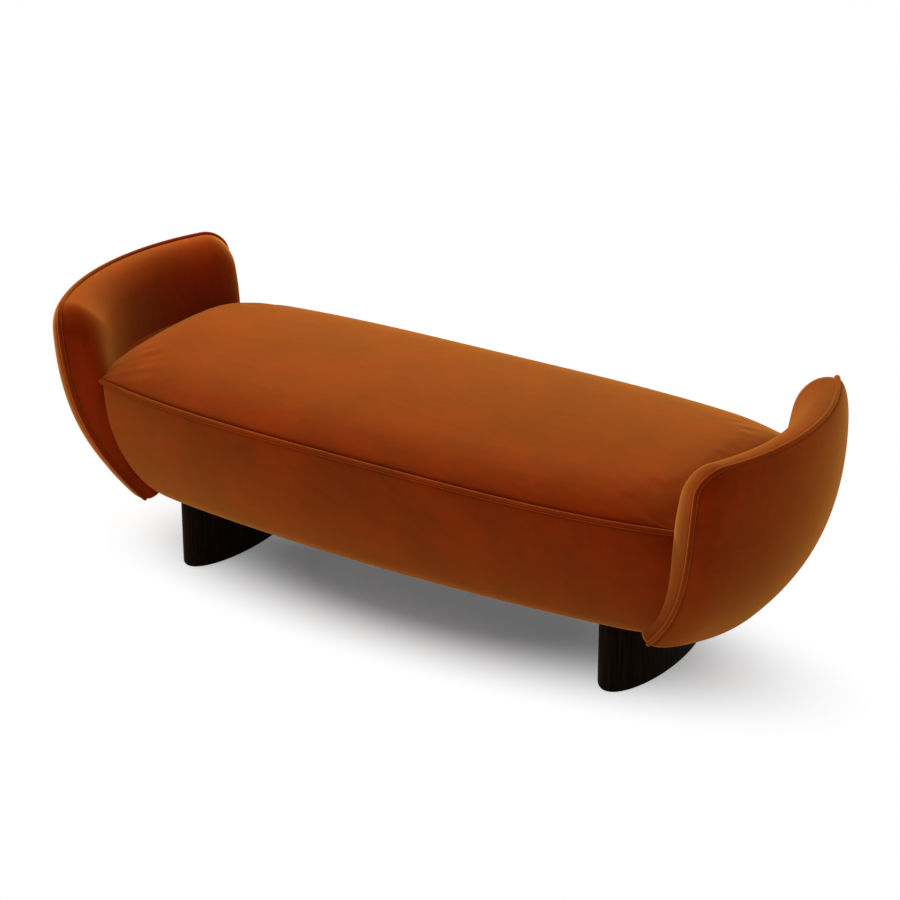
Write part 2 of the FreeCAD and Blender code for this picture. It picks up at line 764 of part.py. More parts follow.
def seat_section(along, inset, run_on):
    """Closed section of the seat across the bench, smaller by an inset.

    With a run-on it goes on straight down past the foot of the borders, to serve as a cutting tool.
    """
    crown = mm.crown_height - mm.crown_end_drop * abs(along / mm.seat_reach) ** CROWN_POWER - inset
    seam = seam_half(along) - inset
    base = foot_half(along) - inset
    foot = mm.base_foot
    roll = seam - mm.roll_run
    roll_height = mm.seam_height + (crown - mm.seam_height) * mm.roll_rise_share
    front = [Vector(along, -base, foot),
             Vector(along, -(base + seam) / 2 - mm.border_bulge, (foot + mm.seam_height) / 2),
             Vector(along, -seam, mm.seam_height)]
    bend = [Vector(along, -(seam + roll + mm.roll_bulge) / 2,
                   (mm.seam_height + roll_height) / 2 + mm.roll_bulge),
            Vector(along, -roll, roll_height)]
    top = Vector(along, 0, crown)
    rear = [Vector(along, -spot.y, spot.z) for spot in front]
    rear_bend = [Vector(along, -spot.y, spot.z) for spot in bend]
    drop = Vector(0, 0, -run_on)
    edges = [arc(*front), arc(front[2], *bend), arc(bend[1], top, rear_bend[1]),
             arc(rear_bend[1], rear_bend[0], rear[2]), arc(*reversed(rear))]
    if run_on:
        edges.append(line(rear[0], rear[0] + drop))
        edges.append(line(front[0] + drop, front[0]))
    edges.append(line(rear[0] + drop, front[0] + drop))
    return Part.Wire(Part.__sortEdges__(edges))


def seat_form(inset, run_on=0):
    """The seat's soft form from end to end, before the arms bite into it."""
    wires = [seat_section(share * mm.seat_reach, inset, run_on) for share in STATION_SHARES]
    return Part.makeLoft(wires, True, False)


bite_depth = half_shell + mm.inner_pad + mm.cloth + 2 * mm.fit_gap
arm_bite = arm_slab(-bite_depth, mm.arm_tuck + mm.overrun, 0, corners=False)
bites = [arm_bite, arm_bite.mirror(Vector(), Vector(1, 0, 0))]
far = mm.seat_reach + mm.overrun
wide = mm.seam_half_depth + mm.overrun
high = mm.crown_height + mm.overrun
under = mm.base_foot - mm.overrun
above_seam = box(Vector(-far, -wide, mm.seam_height), Vector(far, wide, high))
below_front = box(Vector(-far, -wide, under), Vector(far, 0, mm.seam_height))
below_rear = box(Vector(-far, 0, under), Vector(far, wide, mm.seam_height))
seat_skin = seat_form(0).cut(bites).cut(seat_form(mm.cloth, mm.overrun))
keep(solid("top_cover", seat_skin.common(above_seam)), "seat_top_cover")
keep(solid("front_cover", seat_skin.common(below_front)), "front_border_cover")
keep(solid("rear_cover", seat_skin.common(below_rear)), "rear_border_cover")

# Seat foam on the webbing, and border foams on the boards

seat_fill = seat_form(mm.cloth + mm.fit_gap).cut(bites)
above_straps = box(Vector(-far, -wide, mm.seat_floor), Vector(far, wide, high))
keep(solid("foam", seat_fill.common(above_straps)), "seat_foam")


def core_section(half_depth, corner_depth, height):
    """Outline of the frame in plan at one height, run on past both ends."""
    bow = (half_depth - corner_depth) * (far / end_face.value) ** 2
    ends = [Vector(far * step, -half_depth + bow, height) for step in (-1, 1)]
    rear = [Vector(spot.x, -spot.y, height) for spot in ends]
    return Part.Wire([arc(ends[0], Vector(0, -half_depth, height), ends[1]), line(ends[1], rear[1]),
                      arc(rear[1], Vector(0, half_depth, height), rear[0]), line(rear[0], ends[0])])


gap = mm.fit_gap
core_foot = core_section(mm.base_half_depth + gap, base_end.value + gap, mm.base_foot)
core_top = core_section(board_middle.value + gap, board_end.value + gap, mm.rail_top)
core = Part.makeLoft([core_foot, core_top], True, True)
border_fill = seat_fill.cut(core)
front_room = box(Vector(-far, -wide, under), Vector(far, 0, mm.rail_top))
rear_room = box(Vector(-far, 0, under), Vector(far, wide, mm.rail_top))
keep(solid("front_fill", border_fill.common(front_room)), "front_border_foam")
keep(solid("rear_fill", border_fill.common(rear_room)), "rear_border_foam")


def seam_line(share):
    """The line of the flat seat welt, just outside the front border and under its seam."""
    along = share * mm.seat_welt_reach
    proud = mm.seat_welt_thickness / 2 + mm.fit_gap
    return Vector(along, -seam_half(along) - proud, mm.seam_height - mm.seat_welt_width / 2)


SEAM_STOPS = (-1, -0.6, 0, 0.6, 1)
welt_half = mm.seat_welt_thickness / 2
welt_rise = mm.seat_welt_width / 2
welt_outline = [(-welt_half, -welt_rise), (welt_half, -welt_rise),
                (welt_half, welt_rise), (-welt_half, welt_rise)]
front_welt = solid("seat_welt", cord(seam_line, SEAM_STOPS, welt_outline))
keep(front_welt, "seat_welt_front")
rear_welt = doc.addObject("Part::Mirroring", "seat_welt_twin")
rear_welt.Source = front_welt
rear_welt.Normal = Vector(0, 1, 0)
keep(rear_welt, "seat_welt_rear")

# Every object has to be sound before anything is written

doc.recompute()
for thing in doc.Objects:
    if "Invalid" in thing.State or "Error" in thing.State:
        raise RuntimeError("%s failed: %s" % (thing.Label, thing.State))
os.makedirs("parts", exist_ok=True)
for thing in nodes:
    shape = thing.Shape
    if shape.isNull() or not shape.isValid() or not shape.Solids:
        raise RuntimeError("%s has no sound solid" % thing.Label)
for thing in nodes:
    thing.Shape.exportStep("parts/%s.step" % thing.Label)
    print("%-24s solids %2d  volume %10.0f" % (thing.Label, len(thing.Shape.Solids), thing.Shape.Volume))
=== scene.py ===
import bpy
import bmesh
import numpy as np
from mathutils import Matrix


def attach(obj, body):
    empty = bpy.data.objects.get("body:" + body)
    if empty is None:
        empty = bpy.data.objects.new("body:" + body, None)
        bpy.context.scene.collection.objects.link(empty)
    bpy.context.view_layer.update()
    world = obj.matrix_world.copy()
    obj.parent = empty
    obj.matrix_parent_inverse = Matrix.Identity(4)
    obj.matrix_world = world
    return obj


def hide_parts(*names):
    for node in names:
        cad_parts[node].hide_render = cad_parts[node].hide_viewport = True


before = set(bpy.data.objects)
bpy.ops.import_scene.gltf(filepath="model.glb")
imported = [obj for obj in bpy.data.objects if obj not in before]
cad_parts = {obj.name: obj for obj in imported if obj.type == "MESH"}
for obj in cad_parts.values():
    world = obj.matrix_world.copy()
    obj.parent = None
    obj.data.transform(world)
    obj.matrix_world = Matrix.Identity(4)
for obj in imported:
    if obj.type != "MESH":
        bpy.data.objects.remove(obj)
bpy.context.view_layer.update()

# Legs: two oval posts shaped from glued-up hardwood, stained almost black and lacquered satin.
# Each stands under one end of the base panel, with its grain running up.


def linear(hexa):
    """An sRGB hex colour as linear RGBA: each channel goes through the sRGB curve."""
    srgb = np.array([int(hexa[at:at + 2], 16) for at in (1, 3, 5)]) / 255
    rgb = np.where(srgb <= 0.04045, srgb / 12.92, ((srgb + 0.055) / 1.055) ** 2.4)
    return (*rgb.tolist(), 1.0)


def add(tree, kind, settings=(), links=()):
    """Adds a node: settings go to its inputs or properties, links join its inputs to outputs."""
    node = tree.nodes.new("ShaderNode" + kind)
    for name, value in dict(settings).items():
        if isinstance(name, int) or name in node.inputs:
            node.inputs[name].default_value = value
        else:
            setattr(node, name, value)
    for name, source in dict(links).items():
        tree.links.new(source, node.inputs[name])
    return node


def new_finish(name, settings):
    """A new material: returns it, its node tree and its surface shader with constant settings."""
    material = bpy.data.materials.new(name)
    material.use_nodes = True
    shader = material.node_tree.nodes["Principled BSDF"]
    for socket, value in settings.items():
        shader.inputs[socket].default_value = value
    return material, material.node_tree, shader


def dress(material, *names):
    """Gives CAD nodes a finish in place of the plain one they were packed with."""
    for name in names:
        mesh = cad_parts[name].data
        mesh.materials.clear()
        mesh.materials.append(material)


# Stained oak under satin lacquer: nearly black, with browner streaks along the grain and a faint
# highlight that breaks along them. Real pores are finer: these are drawn wide enough to show.
PORE_WIDTH, PORE_LENGTH = 0.003, 0.09
stained_oak, tree, shader = new_finish(
    "stained_oak_satin", {"IOR": 1.5, "Specular IOR Level": 0.015})
place = add(tree, "TexCoord")
stretch = add(tree, "Mapping", {"Scale": (1 / PORE_WIDTH, 1 / PORE_WIDTH, 1 / PORE_LENGTH)},
              {"Vector": place.outputs["Object"]})
grain = add(tree, "TexNoise", {"Scale": 1.0, "Detail": 5.0, "Roughness": 0.6},
            {"Vector": stretch.outputs[0]})
tone = add(tree, "ValToRGB", links={"Fac": grain.outputs["Fac"]})
tone.color_ramp.elements[0].position = 0.35
tone.color_ramp.elements[0].color = linear("#040201")
tone.color_ramp.elements[1].position = 0.72
tone.color_ramp.elements[1].color = linear("#26170C")
tree.links.new(tone.outputs["Color"], shader.inputs["Base Color"])
gloss = add(tree, "MapRange", {"To Min": 0.50, "To Max": 0.66}, {"Value": grain.outputs["Fac"]})
tree.links.new(gloss.outputs[0], shader.inputs["Roughness"])
pores = add(tree, "Bump", {"Strength": 0.25, "Distance": 0.0003}, {"Height": grain.outputs["Fac"]})
tree.links.new(pores.outputs[0], shader.inputs["Normal"])
dress(stained_oak, "leg_left", "leg_right")

# Leg glides and fixings: a felt pad on a pin under each end of a leg, and the steel bolts and
# threaded inserts that hold the legs to the base and the arms to their boards.

# Pressed wool felt: dark grey, with a tangle of fibres and no shine.
FIBRE_TANGLE = 0.002
felt, tree, shader = new_finish("pressed_felt", {"Roughness": 0.95, "Specular IOR Level": 0.1})
place = add(tree, "TexCoord")
fibre = add(tree, "TexNoise", {"Scale": 1 / FIBRE_TANGLE, "Detail": 4.0},
            {"Vector": place.outputs["Object"]})
tone = add(tree, "ValToRGB", links={"Fac": fibre.outputs["Fac"]})
tone.color_ramp.elements[0].color = linear("#2C2A29")
tone.color_ramp.elements[1].color = linear("#4A4745")
tree.links.new(tone.outputs["Color"], shader.inputs["Base Color"])
matted = add(tree, "Bump", {"Strength": 0.5, "Distance": 0.0005}, {"Height": fibre.outputs["Fac"]})
tree.links.new(matted.outputs[0], shader.inputs["Normal"])
dress(felt, "leg_glides_left", "leg_glides_right")

# Zinc plated steel: bright blue-grey metal with a mottled spangle a few millimetres across.
SPANGLE_WIDTH = 0.004
zinc, tree, shader = new_finish("zinc_plated_steel", {"Metallic": 1.0})
place = add(tree, "TexCoord")
spangle = add(tree, "TexNoise", {"Scale": 1 / SPANGLE_WIDTH, "Detail": 3.0},
              {"Vector": place.outputs["Object"]})
tone = add(tree, "ValToRGB", links={"Fac": spangle.outputs["Fac"]})
tone.color_ramp.elements[0].color = linear("#9FA3A6")
tone.color_ramp.elements[1].color = linear("#C6CACC")
tree.links.new(tone.outputs["Color"], shader.inputs["Base Color"])
gloss = add(tree, "MapRange", {"To Min": 0.25, "To Max": 0.45}, {"Value": spangle.outputs["Fac"]})
tree.links.new(gloss.outputs[0], shader.inputs["Roughness"])
dress(zinc, "leg_inserts_left", "leg_inserts_right", "leg_bolts_left", "leg_bolts_right",
      "arm_bolts_left", "arm_bolts_right")

# Frame: the birch plywood base panel, formers, rails, bent boards, end boards and arm shells that
# the upholstery is pulled over. All of it is closed in by the covers.

# Birch plywood: pale cream face veneer with growth lines along the panel.
VENEER_LINE_GAP, VENEER_LINE_RUN = 0.009, 0.12
plywood, tree, shader = new_finish("birch_plywood", {"Roughness": 0.6, "IOR": 1.5})
place = add(tree, "TexCoord")
stretch = add(tree, "Mapping",
              {"Scale": (1 / VENEER_LINE_RUN, 1 / VENEER_LINE_GAP, 1 / VENEER_LINE_GAP)},
              {"Vector": place.outputs["Object"]})
veneer = add(tree, "TexNoise", {"Scale": 1.0, "Detail": 6.0, "Distortion": 0.4},
             {"Vector": stretch.outputs[0]})
tone = add(tree, "ValToRGB", links={"Fac": veneer.outputs["Fac"]})
tone.color_ramp.elements[0].position = 0.3
tone.color_ramp.elements[0].color = linear("#BD9A6A")
tone.color_ramp.elements[1].position = 0.7
tone.color_ramp.elements[1].color = linear("#DCC296")
tree.links.new(tone.outputs["Color"], shader.inputs["Base Color"])
dress(plywood, "base_panel", "former_left_end", "former_left", "former_middle", "former_right",
      "former_right_end", "front_rail", "rear_rail", "front_board", "rear_board", "end_board_left",
      "end_board_right", "arm_shell_left", "arm_shell_right")

# Webbing and dust cover: elastic straps across the rails carry the seat, and a black cloth is
# stapled under the base to close it.

# Woven elastic: black ribs along each strap. The wave texture turns by 20 radians in a unit.
RIB_GAP = 0.004
webbing, tree, shader = new_finish("woven_elastic", {"Roughness": 0.8})
place = add(tree, "TexCoord")
rib = add(tree, "TexWave",
          {"bands_direction": "Y", "Scale": 2 * np.pi / (20 * RIB_GAP), "Distortion": 0.3},
          {"Vector": place.outputs["Object"]})
tone = add(tree, "ValToRGB", links={"Fac": rib.outputs["Fac"]})
tone.color_ramp.elements[0].color = linear("#17171A")
tone.color_ramp.elements[1].color = linear("#33333A")
tree.links.new(tone.outputs["Color"], shader.inputs["Base Color"])
dress(webbing, "seat_webbing")

# Spun-bonded polypropylene: black and matt, with its dimple grid drawn wide enough to show.
DIMPLE_GAP = 0.006
dust_cloth, tree, shader = new_finish(
    "spun_bonded_cloth", {"Roughness": 0.9, "Specular IOR Level": 0.2})
place = add(tree, "TexCoord")
dimple = add(tree, "TexVoronoi", {"Scale": 1 / DIMPLE_GAP, "Randomness": 0.25},
             {"Vector": place.outputs["Object"]})
tone = add(tree, "ValToRGB", links={"Fac": dimple.outputs["Distance"]})
tone.color_ramp.elements[0].color = linear("#0E0E10")
tone.color_ramp.elements[1].color = linear("#24242A")
tree.links.new(tone.outputs["Color"], shader.inputs["Base Color"])
pressed = add(tree, "Bump", {"Strength": 0.4, "Distance": 0.0004},
              {"Height": dimple.outputs["Distance"]})
tree.links.new(pressed.outputs[0], shader.inputs["Normal"])
dress(dust_cloth, "dust_cover")

# Seat top: one panel of velvet pulled over the seat foam. It rolls down to a seam at the front and
# the rear, is crowned between them, and tucks down against both arms.

# Short pile cotton velvet in burnt orange: deep red brown where the pile is looked into, bright tan
# where it is seen along its tips, with soft patches and shorter marks where it was brushed. The
# pile grain is coarser than the real one, so that it shows.
BRUSHED_PATCH, PILE_GRAIN = 0.14, 0.0025
MARK_LENGTH, MARK_WIDTH, MARK_HEIGHT = 0.045, 0.016, 0.030
MARK_SHARE, PILE_SHARE = 0.62, 0.25
velvet, tree, shader = new_finish("burnt_orange_velvet", {
    "Roughness": 1.0, "Specular IOR Level": 0.0, "Sheen Weight": 1.0, "Sheen Roughness": 0.50,
    "Sheen Tint": linear("#FFAA4C")})
place = add(tree, "TexCoord")
brushed = add(tree, "TexNoise", {"Scale": 1 / BRUSHED_PATCH, "Detail": 2.0, "Roughness": 0.45},
              {"Vector": place.outputs["Object"]})
stroke = add(tree, "Mapping", {"Scale": (1 / MARK_LENGTH, 1 / MARK_WIDTH, 1 / MARK_HEIGHT)},
             {"Vector": place.outputs["Object"]})
marks = add(tree, "TexNoise", {"Scale": 1.0, "Detail": 3.0, "Distortion": 0.6},
            {"Vector": stroke.outputs[0]})
pile = add(tree, "TexNoise", {"Scale": 1 / PILE_GRAIN, "Detail": 3.0},
           {"Vector": place.outputs["Object"]})
lay = add(tree, "MapRange", {"From Min": 0.3, "From Max": 0.7}, {"Value": brushed.outputs["Fac"]})
both = add(tree, "Mix", {"data_type": "FLOAT", 0: MARK_SHARE},
           {2: lay.outputs[0], 3: marks.outputs["Fac"]})
every = add(tree, "Mix", {"data_type": "FLOAT", 0: PILE_SHARE},
            {2: both.outputs[0], 3: pile.outputs["Fac"]})
tone = add(tree, "ValToRGB", links={"Fac": every.outputs[0]})
tone.color_ramp.elements[0].position = 0.2
tone.color_ramp.elements[0].color = linear("#651200")
tone.color_ramp.elements[1].position = 0.8
tone.color_ramp.elements[1].color = linear("#901F01")
tree.links.new(tone.outputs["Color"], shader.inputs["Base Color"])
nap = add(tree, "Bump", {"Strength": 0.15, "Distance": 0.0008}, {"Height": pile.outputs["Fac"]})
tree.links.new(nap.outputs[0], shader.inputs["Normal"])

SEAM_HEIGHT = 0.392
SEAM_HALF_DEPTH, SEAM_HALF_LENGTH = 0.280, 0.632
SEAM_DRAWN_IN, SEAM_POWER = 0.051, 3.4
CROWN_HALF_LENGTH, CROWN_RISE = 0.663, 0.0244
CORNER_HALF_DEPTH, CORNER_DRAWN_IN = 0.229, 0.023
ROLL_RUN, ROLL_RISE = 0.110, 0.0284
END_POWER, END_SOFTNESS = 26, 1.55
LEDGE_SHARE = 1.085
GROOVE_SHARE, GROOVE_SPREAD_SHARE = 0.014, 0.004
UNDERSIDE_SHARE, UNDERSIDE_DROP = 0.97, 0.03
SEWN_BAND, SWELL_CAP = 0.0015, 0.0018
PRESSURE, PRESSED_FRAMES = 4, 20


def seat_depth(x):
    """Half depth at the seam: 280 mm, drawn in by 51 mm at 632 mm along by a power of 3.4."""
    return SEAM_HALF_DEPTH - SEAM_DRAWN_IN * np.abs(x / SEAM_HALF_LENGTH) ** SEAM_POWER


def seat_end(y):
    """Half length of the crown: 663 mm, drawn in by a fourth power, 23 mm at 229 mm across."""
    return CROWN_HALF_LENGTH - CORNER_DRAWN_IN * (y / CORNER_HALF_DEPTH) ** 4


def eased(count, power):
    """Numbers from -1 to 1, closer together towards both ends."""
    run = np.linspace(-1, 1, count)
    return np.sign(run) * (1 - (1 - np.abs(run)) ** power)


def skin(name, rings, material):
    """A closed surface: rings of points joined in order, each closed, with a fan on both ends."""
    count, around = rings.shape[:2]
    points = np.concatenate([rings.reshape(-1, 3), rings[:1].mean(1), rings[-1:].mean(1)])
    step, spot = np.meshgrid(np.arange(count - 1) * around, np.arange(around), indexing="ij")
    after = (spot + 1) % around
    quads = np.stack([step + spot, step + after, step + around + after, step + around + spot], -1)
    spot, after = np.arange(around), (np.arange(around) + 1) % around
    first = np.stack([after, spot, np.full(around, count * around)], -1)
    last = np.stack([spot, after, np.full(around, around + 1)], -1) + (count - 1) * around
    faces = quads.reshape(-1, 4).tolist() + first.tolist() + last.tolist()
    mesh = bpy.data.meshes.new(name)
    mesh.from_pydata(points.tolist(), [], faces)
    shell = bmesh.new()
    shell.from_mesh(mesh)
    bmesh.ops.remove_doubles(shell, verts=shell.verts, dist=1e-6)
    bmesh.ops.recalc_face_normals(shell, faces=shell.faces)
    shell.to_mesh(mesh)
    shell.free()
    mesh.shade_smooth()
    mesh.materials.append(material)
    piece = bpy.data.objects.new(name, mesh)
    bpy.context.scene.collection.objects.link(piece)
    return piece


def seat_top_rings():
    """Sections from end to end: over the crown from seam to seam, and back along the underside.

    The height above the seam is a quarter round within 110 mm of it plus a parabola across the
    seat, and both fall to nothing in a roll at the two ends. A ledge goes on from there into the
    arm pads, and the seams are drawn in by 4 mm beside the welts.
    """
    along = eased(count=181, power=2.0)[:, None] * LEDGE_SHARE
    across = eased(count=81, power=2.2)[None, :]
    y = across * SEAM_HALF_DEPTH + 0 * along
    # The length depends on the depth and the depth on the length: six rounds settle both.
    for _ in range(6):
        x = along * seat_end(y)
        y = across * seat_depth(x)
    near = np.clip((seat_depth(x) - np.abs(y)) / ROLL_RUN, 0, 1)
    roll = np.sqrt(1 - (1 - near) ** 2)
    fall = (1 - np.minimum(np.abs(along), 1) ** END_POWER) ** END_SOFTNESS
    z = SEAM_HEIGHT + fall * (ROLL_RISE * roll + CROWN_RISE * (1 - across ** 2))
    y = y * (1 - GROOVE_SHARE * np.exp(-((1 - np.abs(across)) / GROOVE_SPREAD_SHARE) ** 2))
    top = np.stack([x, y, z], -1)
    # The underside takes every sixth point of the top, without those next to the seams.
    under = top[:, ::-1][:, 4:-4:6].copy()
    under[:, :, :2] *= UNDERSIDE_SHARE
    under[:, :, 2] = SEAM_HEIGHT - UNDERSIDE_DROP
    return np.concatenate([top, under], 1)


def points_of(mesh):
    """The points of a mesh as rows."""
    flat = np.empty(len(mesh.vertices) * 3)
    mesh.vertices.foreach_get("co", flat)
    return flat.reshape(-1, 3)


def plumped(piece, sewn, cap):
    """Swells a pad as cloth under pressure from inside, with its sewn points held still.

    Each point keeps the direction of its move, and the length is eased off towards the cap by a
    hyperbolic tangent.
    """
    before = points_of(piece.data)
    held = piece.vertex_groups.new(name="sewn")
    held.add(np.flatnonzero(sewn(before)).tolist(), 1.0, "REPLACE")
    cloth = piece.modifiers.new("pressure", "CLOTH")
    cloth.settings.use_pressure = True
    cloth.settings.uniform_pressure_force = PRESSURE
    cloth.settings.effector_weights.gravity = 0
    cloth.settings.vertex_group_mass = held.name
    cloth.point_cache.frame_end = PRESSED_FRAMES
    for moment in range(1, PRESSED_FRAMES + 1):
        bpy.context.scene.frame_set(moment)
    after = points_of(piece.evaluated_get(bpy.context.evaluated_depsgraph_get()).data)
    piece.modifiers.remove(cloth)
    piece.vertex_groups.remove(held)
    bpy.context.scene.frame_set(1)
    far = np.linalg.norm(after - before, axis=1, keepdims=True)
    eased_off = before + (after - before) * cap * np.tanh(far / cap) / np.maximum(far, 1e-9)
    piece.data.vertices.foreach_set("co", eased_off.ravel())
    piece.data.update()


seat_top = skin("seat_top_pad", seat_top_rings(), velvet)
plumped(seat_top, lambda at: at[:, 2] < SEAM_HEIGHT + SEWN_BAND, SWELL_CAP)
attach(seat_top, "root")
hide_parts("seat_top_cover", "seat_foam")

# Seat borders: the front and rear panels of velvet over thin foam on the bent boards. They lean in
# towards the floor, roll under at the foot, and turn in at each end before they reach the arm.

BORDER_FOOT, BORDER_PAD = 0.136, 0.030
FOOT_HALF_DEPTH, FOOT_HALF_LENGTH, FOOT_DRAWN_IN = 0.203, 0.535, 0.033
BULGE, BULGE_POWER = 0.0696, 0.7
BORDER_END, BORDER_SPREAD, WIDEST_SHARE, SPREAD_POWER = 0.544, 0.110, 0.75, 0.7
FOOT_ROLL_RUN_SHARE, FOOT_ROLL_SHARE = 0.14, 0.42
SEAM_TUCK_SHARE, SEAM_TUCK_RUN_SHARE = 0.2, 0.02
END_TURN_POWER = 28
FRONT_AND_REAR = (("front", -1), ("rear", 1))


def border_depth(x, up):
    """Half depth of the border: straight from the foot line to the seam line, with a bulge.

    The foot line is a parabola: 203 mm, drawn in by 33 mm at 535 mm along. The bulge is a power of
    0.7 of the height times what is left above, 22 mm at its fullest.
    """
    foot = FOOT_HALF_DEPTH - FOOT_DRAWN_IN * (x / FOOT_HALF_LENGTH) ** 2
    return foot + (seat_depth(x) - foot) * up + BULGE * up ** BULGE_POWER * (1 - up)


def border_end(up):
    """Half length of the border: 544 mm at the foot, 110 mm more at three quarters of the height.

    Between and above them it follows a sine of a power of 0.7 of the height.
    """
    return BORDER_END + BORDER_SPREAD * np.sin(np.pi / 2 * (up / WIDEST_SHARE) ** SPREAD_POWER)


def border_rings(way):
    """Sections from end to end: down the face, round the foot, and up a flat back.

    The face stands 30 mm before the back and rolls back to it at both ends. It rolls under in a
    quarter oval at the foot, and is drawn in beside the seam.
    """
    along = eased(count=241, power=2.4)[:, None]
    face = np.linspace(1, 0, 70) ** 1.15
    low = np.clip(1 - face / FOOT_ROLL_RUN_SHARE, 0, 1)
    foot = 1 - (1 - np.sqrt(1 - low ** 2)) * FOOT_ROLL_SHARE
    tuck = 1 - SEAM_TUCK_SHARE * np.exp(-((1 - face) / SEAM_TUCK_RUN_SHARE) ** 2)
    up = np.concatenate([face, np.zeros(5), np.linspace(0, 1, 12)])[None, :]
    out = np.concatenate([foot * tuck, np.linspace(0.5, 0.1, 5), np.zeros(12)])[None, :]
    x = along * border_end(up)
    turn = np.sqrt(1 - np.abs(along) ** END_TURN_POWER)
    y = border_depth(x, up) - BORDER_PAD * (1 - out * turn)
    z = BORDER_FOOT + (SEAM_HEIGHT - BORDER_FOOT) * up + 0 * x
    return np.stack([x, way * y, z], -1)


for side, way in FRONT_AND_REAR:
    border = skin(side + "_border_pad", border_rings(way), velvet)
    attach(border, "root")
    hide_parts(side + "_border_cover", side + "_border_foam")

# Seat welts: a flat strip of the same velvet, folded and sewn into the front and rear seams. Its
# two folded edges stand a little proud of the stitched middle.

WELT_HALF_LENGTH, WELT_HALF_WIDTH, WELT_PROUD = 0.634, 0.0050, 0.0050
WELT_FORWARD, WELT_BELOW_SEAM = 0.0005, 0.003
PINCH_SHARE, PINCH_SPREAD_SHARE = 0.4, 0.35
WELT_TIP_POWER = 120


def seat_welt_rings(way):
    """A flat section carried along the seam and drawn to a tip at both ends.

    It is pinched in the middle of its outer face, and faces square to the seam's curve.
    """
    along = eased(count=261, power=1.6)[:, None]
    turn = np.linspace(0, 2 * np.pi, 28, endpoint=False)[None, :]
    x = along * WELT_HALF_LENGTH
    steep = SEAM_DRAWN_IN * SEAM_POWER / SEAM_HALF_LENGTH
    slope = steep * np.sign(x) * np.abs(x / SEAM_HALF_LENGTH) ** (SEAM_POWER - 1)
    facing = np.stack([slope, np.ones_like(slope)], -1) / np.sqrt(1 + slope ** 2)[..., None]
    tip = np.sqrt(1 - np.abs(along) ** WELT_TIP_POWER)
    middle = np.exp(-(np.cos(turn) / PINCH_SPREAD_SHARE) ** 2) * (np.sin(turn) > 0)
    proud = WELT_PROUD * np.sin(turn) * (1 - PINCH_SHARE * middle) * tip
    height = WELT_HALF_WIDTH * np.cos(turn) * tip
    spread = facing * (proud + WELT_FORWARD)[..., None]
    y = seat_depth(x) + spread[..., 1]
    z = SEAM_HEIGHT - WELT_BELOW_SEAM + height + 0 * x
    return np.stack([x + spread[..., 0], way * y, z], -1)


for side, way in FRONT_AND_REAR:
    welt = skin("seat_seam_welt_" + side, seat_welt_rings(way), velvet)
    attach(welt, "root")
    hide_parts("seat_welt_" + side)

# Arm inner pads: thick foam on the inner face of each bent shell under velvet. The pad rolls over
# the top and down the edges to the welt, and rolls in again at the foot, below the seat.

ARM_FOOT, ARM_MIDDLE, ARM_TOP, ARM_CORNER = 0.132, 0.332, 0.532, 0.044
ARM_FOOT_HALF, ARM_FLARE, ARM_FLARE_LOSS, ARM_FOOT_DIP = 0.188, 0.1893, 0.109, 0.008
EDGE_REACH, EDGE_LEAN, EDGE_LEAN_BACK, EDGE_TUCK = 0.692, 0.0518, 0.0808, 0.160
BOW_FOOT, BOW_TOP, BOW_BETWEEN = 0.082, 0.0786, 0.130
SHELL_HALF, SHELL_EDGE_POWER = 0.0062, 60
FOOT_RUN = 0.06
WELT_GROOVE_SHARE, WELT_GROOVE_DEPTH, WELT_GROOVE_POWER = 0.009, 0.006, 8
INNER_PAD, INNER_OVER_WELT = 0.076, 0.012
INNER_FULLER, INNER_FULLEST_HEIGHT, INNER_FULLER_SPREAD = 0.010, 0.41, 0.11
LEFT_AND_RIGHT = (("left", -1), ("right", 1))


def arm_half(z):
    """Half width of the arm: 188 mm at the foot, flaring as a parabola of the height."""
    up = (z - ARM_FOOT) / (ARM_TOP - ARM_FOOT)
    return ARM_FOOT_HALF + ARM_FLARE * up - ARM_FLARE_LOSS * up ** 2


def on_arm(y, z, offset):
    """Distance along the bench of a point at an offset outwards from the arm's middle face.

    Each level is a plan arc: its edge leans by a cubic of the height, and its bow is a cubic too.
    """
    up = (z - ARM_FOOT) / (ARM_TOP - ARM_FOOT)
    down = 1 - up
    edge = EDGE_REACH - EDGE_LEAN * down + EDGE_LEAN_BACK * down ** 2 - EDGE_TUCK * down ** 3
    bow = BOW_FOOT * down + BOW_TOP * up + BOW_BETWEEN * up ** 2 * down
    radius = (arm_half(z) ** 2 + bow ** 2) / (2 * bow)
    return edge + bow - radius + np.sqrt((radius + offset) ** 2 - y ** 2)


def even_steps(path, count, closed):
    """A path sampled again at even distances along it."""
    if closed:
        path = np.concatenate([path, path[:1]])
    far = np.concatenate([[0], np.cumsum(np.linalg.norm(np.diff(path, axis=0), axis=1))])
    stops = np.linspace(0, far[-1], count, endpoint=not closed)
    return np.stack([np.interp(stops, far, part) for part in path.T], -1)


def arm_edge():
    """Edge of the arm as seen square on, from the front foot over the top to the rear foot.

    It is the flared side, a corner of 44 mm, the straight top, and the same again.
    """
    z = np.linspace(ARM_FOOT, ARM_TOP - ARM_CORNER, 160)
    turn = np.linspace(0, np.pi / 2, 60)[1:]
    high = ARM_TOP - ARM_CORNER + ARM_CORNER * np.sin(turn)
    side = np.stack([-arm_half(z), z], -1)
    corner = np.stack([-arm_half(high) + ARM_CORNER * (1 - np.cos(turn)), high], -1)
    front = np.concatenate([side, corner])
    return np.concatenate([front, front[::-1] * (-1, 1)])


